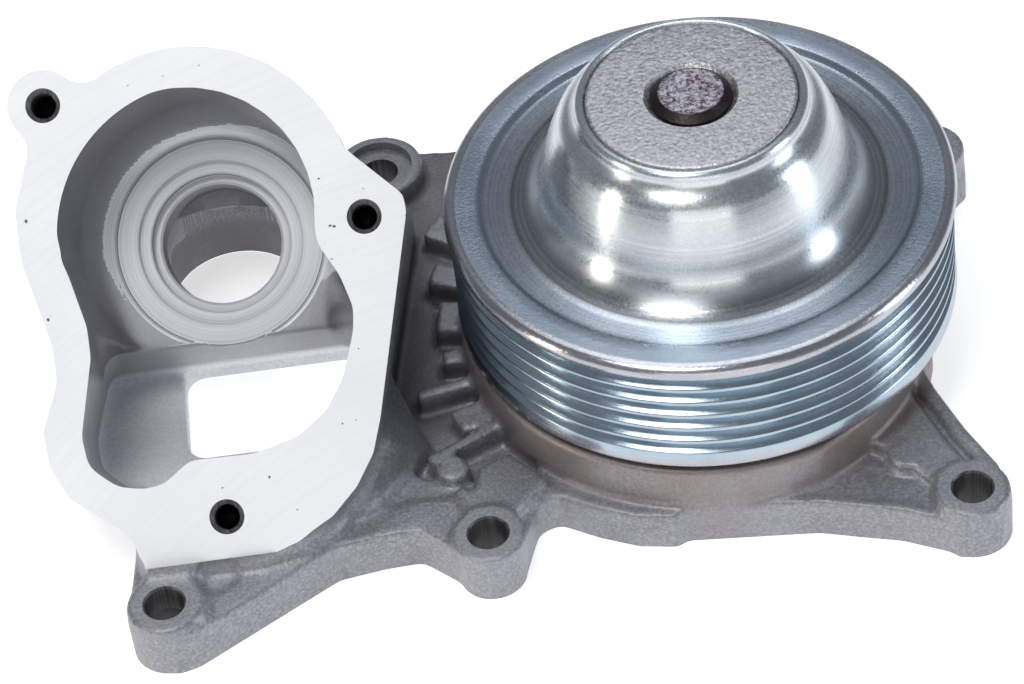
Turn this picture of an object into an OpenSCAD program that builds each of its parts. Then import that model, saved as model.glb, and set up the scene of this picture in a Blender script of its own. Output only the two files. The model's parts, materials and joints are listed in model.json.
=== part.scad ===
// Belt-driven engine coolant pump with an integral thermostat neck.
// Frame: the origin is where the shaft axis meets the engine face, +Z runs up the shaft
// to the pulley, +X points away from the thermostat neck.

/* [Pulley] */
// Outer diameter of the rolled bead on the rim
pulley_d = 100.8; // [98:0.2:102]
// Height of the rim above the engine face
rim_z = 47.5; // [47:0.1:48.5]
// Distance from one belt groove to the next
groove_pitch = 3.56; // [3.5:0.01:3.6]
// Number of belt grooves
groove_count = 6; // [4:1:6]
// Depth of a belt groove
groove_depth = 2.7; // [2:0.1:3]
// Thickness of the pressed sheet
sheet_t = 2.2; // [1.8:0.1:2.4]
// Diameter of the flat hub face
hub_face_d = 41; // [38:0.5:42]
// Height of the hub face above the rim
hub_rise = 24.1; // [23:0.1:25]

/* [Housing] */
// Outer diameter of the round wall under the pulley
volute_d = 100; // [98:0.5:101]
// Height of the roof of the round wall
roof_z = 18.6; // [18:0.1:19]
// Height of the bolt bosses
boss_h = 12; // [11:0.1:13]
// Thickness of the mounting web
web_h = 8.8; // [8:0.1:9.4]
// Diameter of the holes for the M7 mounting bolts
bolt_hole_d = 7.8; // [7.4:0.1:8.2]
// Inner diameter of the engine register
register_d = 76; // [72:0.5:78]
// Depth of the engine register
register_depth = 4; // [3:0.5:4.5]

/* [Thermostat neck] */
// Lean of the machined neck flange away from the engine face, in degrees
neck_tilt = 42; // [40:0.5:44]
// Depth of the thermostat seat below the flange
seat_depth = 28; // [26:0.5:30]
// Diameter of the flat seat ring
seat_ring_d = 41.2; // [40:0.2:42]
// Diameter of the first step inside the seat
seat_step_d = 32.8; // [32:0.2:33.6]
// Diameter of the second step inside the seat
seat_throat_d = 27.8; // [27:0.2:28.4]
// Diameter of the bypass bore
bypass_d = 24; // [23:0.2:25]
// Tapping diameter of the three M6 cover holes
cover_hole_d = 5; // [4.8:0.1:5.2]
// Depth of the three M6 cover holes
cover_hole_depth = 16; // [12:0.5:18]

/* [Shaft and bearing] */
// Diameter of the shaft
shaft_d = 15.918; // [15.9:0.001:16]
// Diameter of the shaft where the impeller sits
shaft_end_d = 12; // [11:0.5:13]
// Outer diameter of the shaft bearing
bearing_od = 30; // [29.5:0.1:30.5]
// Length of the bearing outer ring
bearing_len = 30; // [29:0.5:31]
// Diameter of a bearing ball
ball_d = 6.35; // [6.2:0.05:6.5]
// Diameter of the circle through the ball centres
ball_circle_d = 21.9; // [21.8:0.1:22]
// Number of balls in each row
ball_count = 8; // [6:1:8]

/* [Shaft seal] */
// Outer diameter of the seal cup
seal_od = 36; // [35:0.5:37]
// Number of turns in the seal spring
spring_turns = 3; // [2:1:4]

/* [Impeller] */
// Outer diameter of the impeller
impeller_d = 66; // [60:1:70]
// Number of impeller vanes
vane_count = 7; // [5:1:8]

/* [Hidden] */
$fn = 96;
beyond = 1;

// Bolt bosses on the mounting web, with their centres seen from above
boss_left = [-113, -58.4];
boss_mid = [-49.6, -51.4];
boss_front = [44, -56.1];
boss_back = [51.2, 39];
boss_rear = [-63.2, 55.5];
boss_r = 7.4;
boss_foot_r = 7.6;
mid_foot_r = 6.6;
rear_boss_r = 9.2;
rear_recess_r = 7;
rear_recess_depth = 2;
front_bosses = [boss_left, boss_mid, boss_front, boss_back];
all_bosses = concat(front_bosses, [boss_rear]);
// The two bosses whose holes take a dowel sleeve at the engine face
dowel_bosses = [boss_left, boss_back];
dowel_r = 5;
dowel_depth = 6;

// Web levels
floor_z = 6.5;
arm_z = web_h + 0.4;
lip_z = web_h + 1;
plateau_z = boss_h - 0.6;
rib_z = boss_h - 0.5;
wall_r = volute_d / 2;
// A second circle cuts the round wall back on the side away from the neck
wall_shift = [-6, -3];
web_fillet = 3;

// Thermostat neck, in its own frame: x across the flange, y up the slope, z out of it
neck_pos = [-95.6, -2.9, 54.8];
neck_back_y = 26;
neck_len = 110;
ear_hole = [-28.9, 28.8];
side_hole = [30.2, -0.8];
foot_hole = [-3.7, -55];
cover_holes = [ear_hole, side_hole, foot_hole];
cover_chamfer = 0.9;
port_floor = 4;
// Seat block: where its right side and the pocket beside it lie
block_x = 19.6;
block_top_y = -6;
pocket_depth = 40;
bowl_r = 24;
port_a = [[-107.5, -14], [-71, 11.6]];
port_corner = 4;
port_b = [-95.4, 33.6];
port_b_r = 14;
port_b_h = 24;
port_b_wall = 8.4;

// Stack of the rotating group along the shaft
chamber_z = 14.5;
seal_shoulder_z = 19.8;
seal_top_z = 26;
drain_top_z = 30;
tower_r = 19.6;
tower_z = 60;
tower_foot_r = 26;
bearing_z = 30.4;
race_z = [bearing_z + 6.6, bearing_z + bearing_len - 6.9];
ball_r = ball_d / 2;
pitch_r = ball_circle_d / 2;
ring_in_r = 12.5;
race_gap = 0.03;
cage_in_r = 10.1;
cage_out_r = 11.8;
cage_half = 2.7;
shield_t = 0.8;
shield_in_r = shaft_d / 2 + 0.15;
shaft_r = shaft_d / 2;
shaft_end_r = shaft_end_d / 2;
shaft_top_z = rim_z + hub_rise + 0.9;
impeller_z = 5.2;
vane_top_z = 11.4;
disc_top_z = 13;
bush_r = 8.6;
chamber_r = 38;
o_ring_r = 40.6;
ring_foot_z = 15.5;
mating_top_z = 19;
mating_r = 13.4;
running_gap = 0.05;
weep_z = 28.2;
weep_r = 2;

// ---------- helpers ----------

// Plain tube between two heights
module tube(r_in, r_out, z0, z1) {
    translate([0, 0, z0])
        difference() {
            cylinder(r = r_out, h = z1 - z0);
            translate([0, 0, -beyond])
                cylinder(r = r_in, h = z1 - z0 + 2 * beyond);
        }
}

// Points of an arc around c, from angle a0 to a1 in n steps
function arc(c, r, a0, a1, n) =
    [for (i = [0 : n]) c + r * [cos(a0 + (a1 - a0) * i / n), sin(a0 + (a1 - a0) * i / n)]];

function reversed(list) = [for (i = [len(list) - 1 : -1 : 0]) list[i]];

// Puts children into the frame of the thermostat flange
module in_neck() {
    translate(neck_pos)
        rotate([neck_tilt, 0, 0])
            children();
}

// Rounds inside corners by r_in and outside corners by r_out
module rounded(r_in, r_out) {
    offset(r = r_out, $fn = 32)
        offset(r = -r_out - r_in, $fn = 32)
            offset(r = r_in, $fn = 32)
                children();
}

// ---------- housing outlines ----------

// Outer outline of the machined thermostat flange
module neck_outline() {
    rounded(5, 2.5)
        union() {
            translate([-2.6, 5]) circle(r = 31.8);
            translate(ear_hole) circle(r = 7);
            polygon([[-36.9, 9], [-36.9, -1], [-33, -18], [-33, -25], [-36.9, -34],
                     [-36.5, -41], [-33.5, -47.5], [-26.5, -53], [-22.5, -56.5],
                     [-21, -62.3], [3, -62.3], [10, -61], [16.6, -57.6], [22, -52.5],
                     [26, -46.5], [28.2, -40], [38.4, -1], [38.2, 2.5], [26.5, 14.5],
                     [0, 30], [-33, 20]]);
        }
}

// Inner outline of the thermostat chamber
module chamber_outline() {
    rounded(4, 4)
        union() {
            translate([-4.4, 3.9]) circle(r = 25.4);
            polygon([[-29, -1], [-25.9, -15], [-25.9, -21], [-29.6, -36], [-29, -42],
                     [-24, -46.5], [-19, -47.6], [-15, -47.2], [-9.5, -43.3],
                     [3, -43.6], [12, -41.4], [18.2, -37], [22.2, -31], [25.2, -22.5],
                     [25.8, -18], [24, -11.5], [20.6, -5], [19.8, 4], [0, 12]]);
        }
}

// Outline of the round wall under the pulley
module wall_outline(r) {
    intersection() {
        circle(r = r);
        translate(wall_shift) circle(r = r - 0.5);
    }
}

// Outline of the mounting web, seen from above
module web_outline() {
    rounded(web_fillet, 1.5)
        union() {
            wall_outline(wall_r + 0.8);
            for (b = [boss_left, boss_front, boss_back]) translate(b) circle(r = boss_foot_r);
            translate(boss_mid) circle(r = mid_foot_r);
            translate(boss_rear) circle(r = rear_boss_r + 0.6);
            // arm that carries the left and middle bosses
            polygon([[-118.4, 20], [-118.4, -42], [-120.6, -58], [-112, -66.4],
                     [-108, -65.3], [-79.7, -48.1], [-71, -46.8], [-63, -46.4],
                     [-56, -53], [-43.6, -54], [-39.8, -43], [-35.5, -41.3],
                     [-28, -46], [-20.6, -49.5], [-12.9, -51], [0, 0],
                     [-40, 62], [-63, 65], [-88, 55], [-100, 40]]);
            // wing that carries the front boss
            polygon([[0, -50.8], [14.5, -52.2], [22, -54.6], [30, -57], [41, -62.6],
                     [51.4, -53.5], [45.4, -40], [41.4, -28.5], [38, -14], [0, 0]]);
            // rear bridge from the rear boss to the back boss
            polygon([[-63, 65], [-52, 61.5], [-38, 65.5], [-18, 67], [2, 65],
                     [24, 59], [46, 46], [57.5, 43.5], [58.5, 35], [44, 20], [0, 0]]);
        }
}

module port_outline() {
    rounded(0.1, port_corner)
        translate(port_a[0])
            square(port_a[1] - port_a[0]);
}

// ---------- housing solids ----------

// Solid body of the thermostat neck, standing on the engine face
module neck_body() {
    intersection() {
        in_neck()
            translate([0, 0, -neck_len])
                linear_extrude(neck_len)
                    neck_outline();
        linear_extrude(100)
            hull() {
                translate([-145, -80]) square([105, 80 + neck_back_y]);
                translate(port_b) circle(r = port_b_r + port_b_wall, $fn = 32);
            }
    }
}

// Round part of the thermostat chamber, drawn in towards the seat
module chamber_bowl() {
    hull() {
        linear_extrude(beyond) bowl_outline(30);
        translate([0, 0, -seat_depth]) linear_extrude(0.1) bowl_outline(bowl_r);
    }
}

module bowl_outline(r) {
    intersection() {
        chamber_outline();
        circle(r = r);
        translate([-40, -8]) square([80, 60]);
    }
}

// Lower part of the chamber, over the flat top of the seat block
module chamber_front() {
    hull() {
        linear_extrude(beyond)
            polygon([[-30, 0], [-27, -21], [-17, -26], [26, -26], [26, -8], [20, 0]]);
        translate([0, 0, -seat_depth])
            linear_extrude(0.1)
                polygon([[-24, 0], [-24, -5], [-20.7, -17.3], [-17, -20.6],
                         [block_x, -20.6], [block_x, block_top_y], [18, 0]]);
    }
}

// Everything that is hollow inside the thermostat neck
module neck_hollow() {
    in_neck() {
        intersection() {
            translate([0, 0, -seat_depth])
                linear_extrude(seat_depth + beyond)
                    chamber_outline();
            union() {
                chamber_bowl();
                chamber_front();
            }
        }
        // shallow turned recess of the seat ring, and the pocket beside the seat block
        translate([0, 0, -seat_depth - 0.4])
            cylinder(d = seat_ring_d, h = 0.4 + beyond);
        translate([0, 0, -pocket_depth])
            linear_extrude(pocket_depth)
                intersection() {
                    chamber_outline();
                    translate([block_x, -40]) square([10, 40 + block_top_y]);
                }
        translate([0, 0, -seat_depth - 2])
            cylinder(d = seat_step_d, h = 2 + beyond);
        translate([0, 0, -seat_depth - 5])
            cylinder(d = seat_throat_d, h = 3 + beyond);
        translate([0, 0, -seat_depth - 20])
            cylinder(d = bypass_d, h = 15 + beyond);
        for (p = cover_holes) translate(p) {
            translate([0, 0, -cover_hole_depth])
                cylinder(d = cover_hole_d, h = cover_hole_depth + beyond);
            translate([0, 0, -cover_chamfer])
                cylinder(r1 = cover_hole_d / 2, r2 = cover_hole_d / 2 + 2 * cover_chamfer,
                         h = 2 * cover_chamfer);
        }
    }
    // passage in front of the seat block, down to the floor over the engine face
    intersection() {
        in_neck()
            translate([0, 0, -neck_len])
                linear_extrude(neck_len)
                    chamber_outline();
        translate([-200, 0, 0])
            rotate([90, 0, 90])
                linear_extrude(200)
                    polygon([[-80, port_floor], [9.6, port_floor], [-9.2, 40.6], [-80, 40.6]]);
    }
    translate([0, 0, -beyond])
        linear_extrude(port_floor + 2 * beyond)
            port_outline();
    translate([port_b.x, port_b.y, -beyond])
        cylinder(r = port_b_r, h = port_b_h + beyond);
}

// Stiffening ribs and cast pads between the neck and the round wall
module web_ribs() {
    radial = [[191, 61.5, 2.6], [206.5, 66.5, 2.2]];
    for (q = radial)
        rotate(q[0])
            translate([wall_r - 2, -q[2] / 2, floor_z - beyond])
                cube([q[1] - wall_r + 2, q[2], rib_z - floor_z + beyond]);
    blocks = [[201, 57, 6], [182.5, 54.5, 3.5], [170, 55.4, 8.2], [158, 59.2, 6],
              [145, 65, 9]];
    for (q = blocks)
        rotate(q[0])
            translate([wall_r - 2, -q[2] / 2, floor_z - beyond])
                cube([q[1] - wall_r + 2, q[2], rib_z - floor_z + beyond]);
    // ejector post with the bar that ties it to the middle boss
    translate([-55, -32.6, 0]) cylinder(r = 3.3, h = rib_z);
    translate([-52.6, -42.2, rib_z / 2])
        rotate(-72) cube([9, 2.6, rib_z - 0.4], center = true);
    // pad between the middle boss and the round wall
    linear_extrude(rib_z - 0.3)
        polygon([[-50, -33.1], [-43.7, -30.1], [-36.4, -39], [-39, -40.6], [-43, -45.6],
                 [-49.6, -44], [-51.4, -39.7]]);
}

// Upper terrace of the front wing, with its post, the outer lip and the groove between
module wing_terrace() {
    wing_step(plateau_z, 4.8);
    wing_step(plateau_z - 1.8, 2);
    translate([32.8, -45, 0]) cylinder(r = 3.1, h = plateau_z + 0.3);
    linear_extrude(plateau_z + 0.3)
        intersection() {
            difference() {
                web_outline();
                offset(delta = -2.9) web_outline();
            }
            polygon([[36, -24], [41, -50], [60, -52], [60, -18]]);
        }
}

// The terrace up to one height, kept a margin away from the outer edge of the web
module wing_step(top, margin) {
    linear_extrude(top)
        intersection() {
            polygon([[25.5, -39.6], [29.6, -43], [33.9, -48.3], [37, -53], [44, -56],
                     [52, -50], [42, -20], [34, -26]]);
            offset(delta = -margin) web_outline();
        }
}

// Raised band along the front edge of the arm, and the fine lip along the wing
module front_lip() {
    linear_extrude(lip_z)
        intersection() {
            web_outline();
            polygon([[-112, -61.5], [-105.3, -57.8], [-86.2, -46.9], [-80.2, -43.5],
                     [-63.5, -39.1], [-55.3, -39], [-53, -42], [-53, -62], [-90, -75],
                     [-112, -75]]);
        }
    linear_extrude(web_h + 0.4)
        intersection() {
            difference() {
                web_outline();
                offset(delta = -1.5) web_outline();
            }
            polygon([[5, -70], [5, -46], [37, -54], [42, -70]]);
        }
}

// Raised part of the web in front of the neck and in the wing
module raised_web() {
    linear_extrude(web_h)
        intersection() {
            web_outline();
            polygon([[-60, -70], [-60, -33], [-46, -36], [-30, -30], [30, -30],
                     [45, -16], [60, -20], [60, -70]]);
        }
    linear_extrude(arm_z)
        intersection() {
            web_outline();
            polygon([[-130, -70], [-130, -20], [-70, -28], [-57, -34], [-52, -38],
                     [-52, -70]]);
        }
    // low strip that runs from the left boss up under the flange
    translate([-106.1, -49, 0])
        rotate(49)
            translate([-4, -1.5, 0]) cube([10, 3, arm_z + 0.5]);
}

// Flare that blends the foot of the neck into the web
module neck_flare() {
    hull() {
        translate([-70, -30, 0]) cylinder(r = 4, h = 20, $fn = 32);
        translate([-64, -24, 0]) cylinder(r = 5, h = floor_z + 1, $fn = 32);
        translate([-76, -38, 0]) cylinder(r = 4, h = web_h + 1, $fn = 32);
        translate([-71, -10, 0]) cylinder(r = 4, h = 24, $fn = 32);
    }
}

// Round wall of the pump chamber, its roof and the tower that holds the bearing
module pump_body() {
    linear_extrude(roof_z - 0.6) wall_outline(wall_r);
    linear_extrude(roof_z) wall_outline(wall_r - 0.6);
    rotate_extrude()
        polygon([[0, 0], [tower_foot_r + 1, 0], [tower_foot_r + 1, roof_z],
                 [tower_foot_r - 1, roof_z + 1.5], [tower_foot_r - 2, 26],
                 [tower_r, 34], [tower_r, tower_z - 1], [tower_r - 1, tower_z],
                 [0, tower_z]]);
}

module pump_housing() {
    color([0.62, 0.62, 0.65])
    difference() {
        union() {
            linear_extrude(floor_z) web_outline();
            raised_web();
            front_lip();
            wing_terrace();
            web_ribs();
            neck_body();
            neck_flare();
            pump_body();
            for (b = [boss_left, boss_front, boss_back]) translate(b)
                cylinder(r1 = boss_foot_r, r2 = boss_r, h = boss_h);
            translate(boss_mid) cylinder(r1 = mid_foot_r, r2 = boss_r, h = boss_h);
            translate(boss_rear) cylinder(r = rear_boss_r, h = boss_h);
        }
        neck_hollow();
        // round pump chamber, register and shaft bores
        translate([0, 0, -beyond])
            cylinder(d = register_d, h = register_depth + beyond);
        translate([0, 0, -beyond])
            cylinder(r = chamber_r - 2, h = chamber_z + beyond);
        translate([0, 0, chamber_z - beyond])
            cylinder(r = seal_od / 2 + 2, h = seal_shoulder_z - chamber_z + beyond);
        translate([0, 0, seal_shoulder_z - beyond])
            cylinder(d = seal_od, h = seal_top_z - seal_shoulder_z + beyond);
        translate([0, 0, seal_top_z - beyond])
            cylinder(r = bearing_od / 2 - 1.2, h = drain_top_z - seal_top_z + 2 * beyond);
        translate([0, 0, drain_top_z])
            cylinder(d = bearing_od, h = tower_z - drain_top_z + beyond);
        // mounting holes, recess of the rear boss and dowel counterbores
        for (b = all_bosses) translate([b.x, b.y, -beyond])
            cylinder(d = bolt_hole_d, h = boss_h + 2 * beyond);
        translate([boss_rear.x, boss_rear.y, boss_h - rear_recess_depth])
            cylinder(r = rear_recess_r, h = rear_recess_depth + beyond);
        for (b = dowel_bosses) translate([b.x, b.y, -beyond])
            cylinder(r = dowel_r, h = dowel_depth + beyond);
        // grooves for the two face seals
        tube(o_ring_r - 1.2, o_ring_r + 1.5, -beyond, 2.4);
        translate([0, 0, -beyond])
            linear_extrude(2 + beyond)
                port_seal_groove();
        // drain hole above the shaft seal
        translate([0, 0, weep_z])
            rotate([-90, 0, 0])
                cylinder(r = weep_r, h = tower_foot_r + 4);
    }
}

// Ring around both ports, as wide as the groove that holds the port seal
module port_ring(gap) {
    difference() {
        offset(delta = 4.6 - gap, $fn = 32) port_pair();
        offset(delta = 2 + gap, $fn = 32) port_pair();
    }
}

module port_pair() {
    hull() {
        port_outline();
        translate(port_b) circle(r = port_b_r, $fn = 32);
    }
}

module port_seal_groove() port_ring(0);

// ---------- pulley ----------

// Section down the bell: shoulder, flank and the fillet at its foot
function bell(inner) =
    let (d = inner ? -sheet_t : 0, steep = 27, gentle = 9,
         shoulder = [21.2, rim_z + 15.2],
         flank = shoulder - 32 * [cos(steep), sin(steep)],
         foot = flank + 47 * [cos(gentle), sin(gentle)])
    concat(arc(shoulder, 6 + d, 60, steep, 5), arc(flank, 38 + d, 23, gentle, 4),
           arc(foot, 9 - d, 180 + gentle + 6, 270, 10));

function grooves() =
    let (top = rim_z - 6.2 + groove_pitch)
    [for (i = [0 : groove_count - 1])
        each [[pulley_d / 2 - 0.7, top - i * groove_pitch - 0.35],
              [pulley_d / 2 - 0.7 - groove_depth, top - (i + 0.5) * groove_pitch + 0.45],
              [pulley_d / 2 - 0.7 - groove_depth, top - (i + 0.5) * groove_pitch - 0.45],
              [pulley_d / 2 - 0.7, top - (i + 1) * groove_pitch + 0.35]]];

module pulley() {
    hub_r = hub_face_d / 2;
    hub_z = rim_z + hub_rise;
    skirt_z = rim_z - 27.15;
    color([0.66, 0.70, 0.72])
    rotate_extrude()
        polygon(concat(
            // fold around the hub, then down the bell
            [[hub_r, hub_z - 3.4], [hub_r, hub_z - 0.9]],
            arc([hub_r + 0.9, hub_z - 1.3], 1.3, 100, 0, 5),
            [[hub_r + 2.2, hub_z - 2], [hub_r + 2.6, hub_z - 2.9]],
            bell(false),
            // rim land and rolled bead
            [[42.2, rim_z - 1], [43.1, rim_z - 0.35], [43.8, rim_z], [48, rim_z]],
            arc([48.6, rim_z - 1.8], pulley_d / 2 - 48.6, 80, -40, 6),
            grooves(),
            // lower edge and the inside of the grooved band
            [[pulley_d / 2 - 0.4, skirt_z + 2], [pulley_d / 2 - 0.4, skirt_z + 0.5],
             [pulley_d / 2 - 0.9, skirt_z], [46, skirt_z], [45.3, skirt_z + 0.7],
             [45.3, rim_z - 3.4], [44.3, rim_z - 2.6]],
            reversed(bell(true)),
            // flange under the hub disc
            [[hub_r - 0.4, hub_z - 6], [13.2, hub_z - 6], [13.2, hub_z - 3.4]]));
}

module pulley_hub() {
    hub_z = rim_z + hub_rise;
    color([0.52, 0.52, 0.53])
    rotate_extrude()
        polygon([[shaft_r, 62], [12.4, 62], [13.2, 62.8], [13.2, hub_z - 3.4],
                 [hub_face_d / 2, hub_z - 3.4], [hub_face_d / 2, hub_z - 0.5],
                 [hub_face_d / 2 - 0.5, hub_z], [shaft_r + 1.1, hub_z],
                 [shaft_r, hub_z - 1.2]]);
}

// ---------- shaft and bearing ----------

module pump_shaft() {
    color([0.55, 0.5, 0.52])
    difference() {
        rotate_extrude()
            polygon([[0, impeller_z], [shaft_end_r - 0.6, impeller_z],
                     [shaft_end_r, impeller_z + 0.6], [shaft_end_r, chamber_z],
                     [shaft_r, chamber_z + 0.4], [shaft_r, shaft_top_z - 1.3],
                     [shaft_r - 1.6, shaft_top_z], [0, shaft_top_z]]);
        for (z = race_z) translate([0, 0, z]) race_ring();
    }
}

// Torus that the balls sweep, with a little clearance
module race_ring() {
    rotate_extrude()
        translate([pitch_r, 0])
            circle(r = ball_r + race_gap, $fn = 48);
}

module bearing_outer_ring() {
    color([0.6, 0.6, 0.62])
    difference() {
        tube(ring_in_r, bearing_od / 2, bearing_z, bearing_z + bearing_len);
        for (z = race_z) translate([0, 0, z]) race_ring();
        // rebates that hold the two shields
        for (z = [bearing_z + 0.6, bearing_z + bearing_len - 0.6 - shield_t])
            tube(ring_in_r - 1, ring_in_r + 0.6, z, z + shield_t);
    }
}

module ball_row(z) {
    color([0.82, 0.83, 0.85])
    for (i = [0 : ball_count - 1])
        rotate(i * 360 / ball_count)
            translate([pitch_r, 0, z])
                sphere(r = ball_r, $fn = 48);
}

module ball_cage(z) {
    color([0.75, 0.62, 0.35])
    difference() {
        tube(cage_in_r, cage_out_r, z - cage_half, z + cage_half + 0.9);
        for (i = [0 : ball_count - 1])
            rotate(i * 360 / ball_count)
                translate([pitch_r, 0, z])
                    sphere(r = ball_r + 0.06, $fn = 48);
    }
}

module shield(z) {
    color([0.18, 0.18, 0.2])
    tube(shield_in_r, ring_in_r + 0.6, z, z + shield_t);
}

// ---------- shaft seal ----------

module seal_cup() {
    outer = seal_od / 2;
    color([0.72, 0.6, 0.36])
    rotate_extrude()
        polygon([[outer - 0.8, seal_shoulder_z - 0.8], [outer + 1.6, seal_shoulder_z - 0.8],
                 [outer + 1.6, seal_shoulder_z], [outer, seal_shoulder_z],
                 [outer, seal_top_z], [9.6, seal_top_z], [9.6, seal_top_z - 0.8],
                 [outer - 0.8, seal_top_z - 0.8]]);
}

module seal_bellows() {
    color([0.1, 0.1, 0.11])
    rotate_extrude()
        polygon([[12.7, 20.4], [14.1, 20.4], [14.1, 22.4], [13.6, 23.2], [14.4, 24],
                 [14.4, seal_top_z - 0.8], [9.8, seal_top_z - 0.8],
                 [9.8, seal_top_z - 1.7], [12.7, seal_top_z - 2.2]]);
}

module carbon_ring() {
    color([0.15, 0.15, 0.16])
    rotate_extrude()
        polygon([[9.4, mating_top_z + running_gap + 0.4], [9.8, mating_top_z + running_gap],
                 [11.6, mating_top_z + running_gap], [12.7, 20.4], [12.7, 23.6],
                 [9.4, 23.6]]);
}

// Points of a helical wire with a round section
function coil_points(r, wire_r, z0, rise, turns, per_turn, sides) =
    [for (i = [0 : turns * per_turn])
        let (a = i * 360 / per_turn, z = z0 + rise * i / (turns * per_turn))
        for (j = [0 : sides - 1])
            let (b = j * 360 / sides)
            [(r + wire_r * cos(b)) * cos(a), (r + wire_r * cos(b)) * sin(a),
             z + wire_r * sin(b)]];

module seal_spring() {
    per_turn = 24;
    sides = 8;
    rings = spring_turns * per_turn;
    pts = coil_points(15.7, 0.5, 20.4, 4.2, spring_turns, per_turn, sides);
    side_faces = [for (i = [0 : rings - 1]) for (j = [0 : sides - 1])
        [i * sides + j, (i + 1) * sides + j,
         (i + 1) * sides + (j + 1) % sides, i * sides + (j + 1) % sides]];
    start_cap = [for (j = [0 : sides - 1]) j];
    end_cap = [for (j = [sides - 1 : -1 : 0]) rings * sides + j];
    color([0.7, 0.7, 0.72])
    polyhedron(points = pts, faces = concat(side_faces, [start_cap, end_cap]));
}

module mating_ring_sleeve() {
    color([0.12, 0.12, 0.13])
    rotate_extrude()
        polygon([[shaft_r, ring_foot_z - 0.8], [mating_r, ring_foot_z - 0.8],
                 [mating_r, ring_foot_z], [8.8, ring_foot_z], [8.8, mating_top_z - 0.4],
                 [shaft_r, mating_top_z - 0.4]]);
}

module mating_ring() {
    color([0.3, 0.3, 0.32])
    tube(8.8, mating_r, ring_foot_z, mating_top_z);
}

// ---------- impeller ----------

// One backward-curved vane, cut from a round strip
module vane() {
    intersection() {
        translate([-0.2, -22, 0])
            tube(23, 25, impeller_z + 0.4, vane_top_z + 0.4);
        translate([bush_r + 1, -22, 0])
            cube([impeller_d / 2, 25, 2 * vane_top_z]);
        cylinder(d = impeller_d - 3, h = 2 * vane_top_z);
    }
}

module impeller() {
    color([0.16, 0.16, 0.17])
    difference() {
        union() {
            translate([0, 0, vane_top_z])
                cylinder(d = impeller_d, h = disc_top_z - vane_top_z);
            translate([0, 0, impeller_z])
                cylinder(r = bush_r + 3, h = disc_top_z - impeller_z);
            for (i = [0 : vane_count - 1])
                rotate(i * 360 / vane_count) vane();
        }
        translate([0, 0, -beyond])
            cylinder(r = bush_r, h = disc_top_z + 2 * beyond);
    }
}

module impeller_bush() {
    color([0.6, 0.6, 0.62])
    tube(shaft_end_r, bush_r, impeller_z, disc_top_z);
}

// ---------- small pieces on the housing ----------

module weep_hole_cap() {
    color([0.15, 0.15, 0.16])
    translate([0, 0, weep_z])
        rotate([-90, 0, 0]) {
            translate([0, 0, tower_foot_r - 7]) cylinder(r = weep_r, h = 6.6);
            translate([0, 0, tower_foot_r - 0.6]) cylinder(r = weep_r + 1.1, h = 1.4);
        }
}

module volute_o_ring() {
    color([0.08, 0.08, 0.08])
    rotate_extrude()
        translate([o_ring_r, 1.2])
            circle(r = 1.15, $fn = 32);
}

module port_seal() {
    color([0.08, 0.08, 0.08])
    translate([0, 0, 0.1])
        linear_extrude(1.9)
            port_ring(0.3);
}

module dowel_sleeves() {
    color([0.55, 0.55, 0.57])
    for (b = dowel_bosses) translate(b)
        tube(bolt_hole_d / 2, dowel_r, 0.2, dowel_depth);
}

pump_housing();
pulley();
pulley_hub();
pump_shaft();
bearing_outer_ring();
ball_row(race_z[1]);  // upper_bearing_balls
ball_row(race_z[0]);  // lower_bearing_balls
ball_cage(race_z[1]);  // upper_ball_cage
ball_cage(race_z[0]);  // lower_ball_cage
shield(bearing_z + bearing_len - 0.6 - shield_t);  // upper_bearing_shield
shield(bearing_z + 0.6);  // lower_bearing_shield
seal_cup();
seal_spring();
seal_bellows();
carbon_ring();
mating_ring();
mating_ring_sleeve();
impeller();
impeller_bush();
weep_hole_cap();
volute_o_ring();
port_seal();
dowel_sleeves();
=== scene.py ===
"""Looks of the belt-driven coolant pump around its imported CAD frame.

The housing is rebuilt as a casting: the CAD solid is turned into a distance field, its corners
are rounded there, and the machined faces, bores and the turned seat are cut back in sharp. The
pulley and its hub are turned from fine profiles. Every other CAD node keeps its own mesh and gets
a procedural material. Lengths in the shape code are millimetres, and meshes are scaled to metres.
Lengths in the materials are metres.
"""

import json
import math

import bpy
import numpy as np
import openvdb
from mathutils import Matrix, Vector


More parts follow.
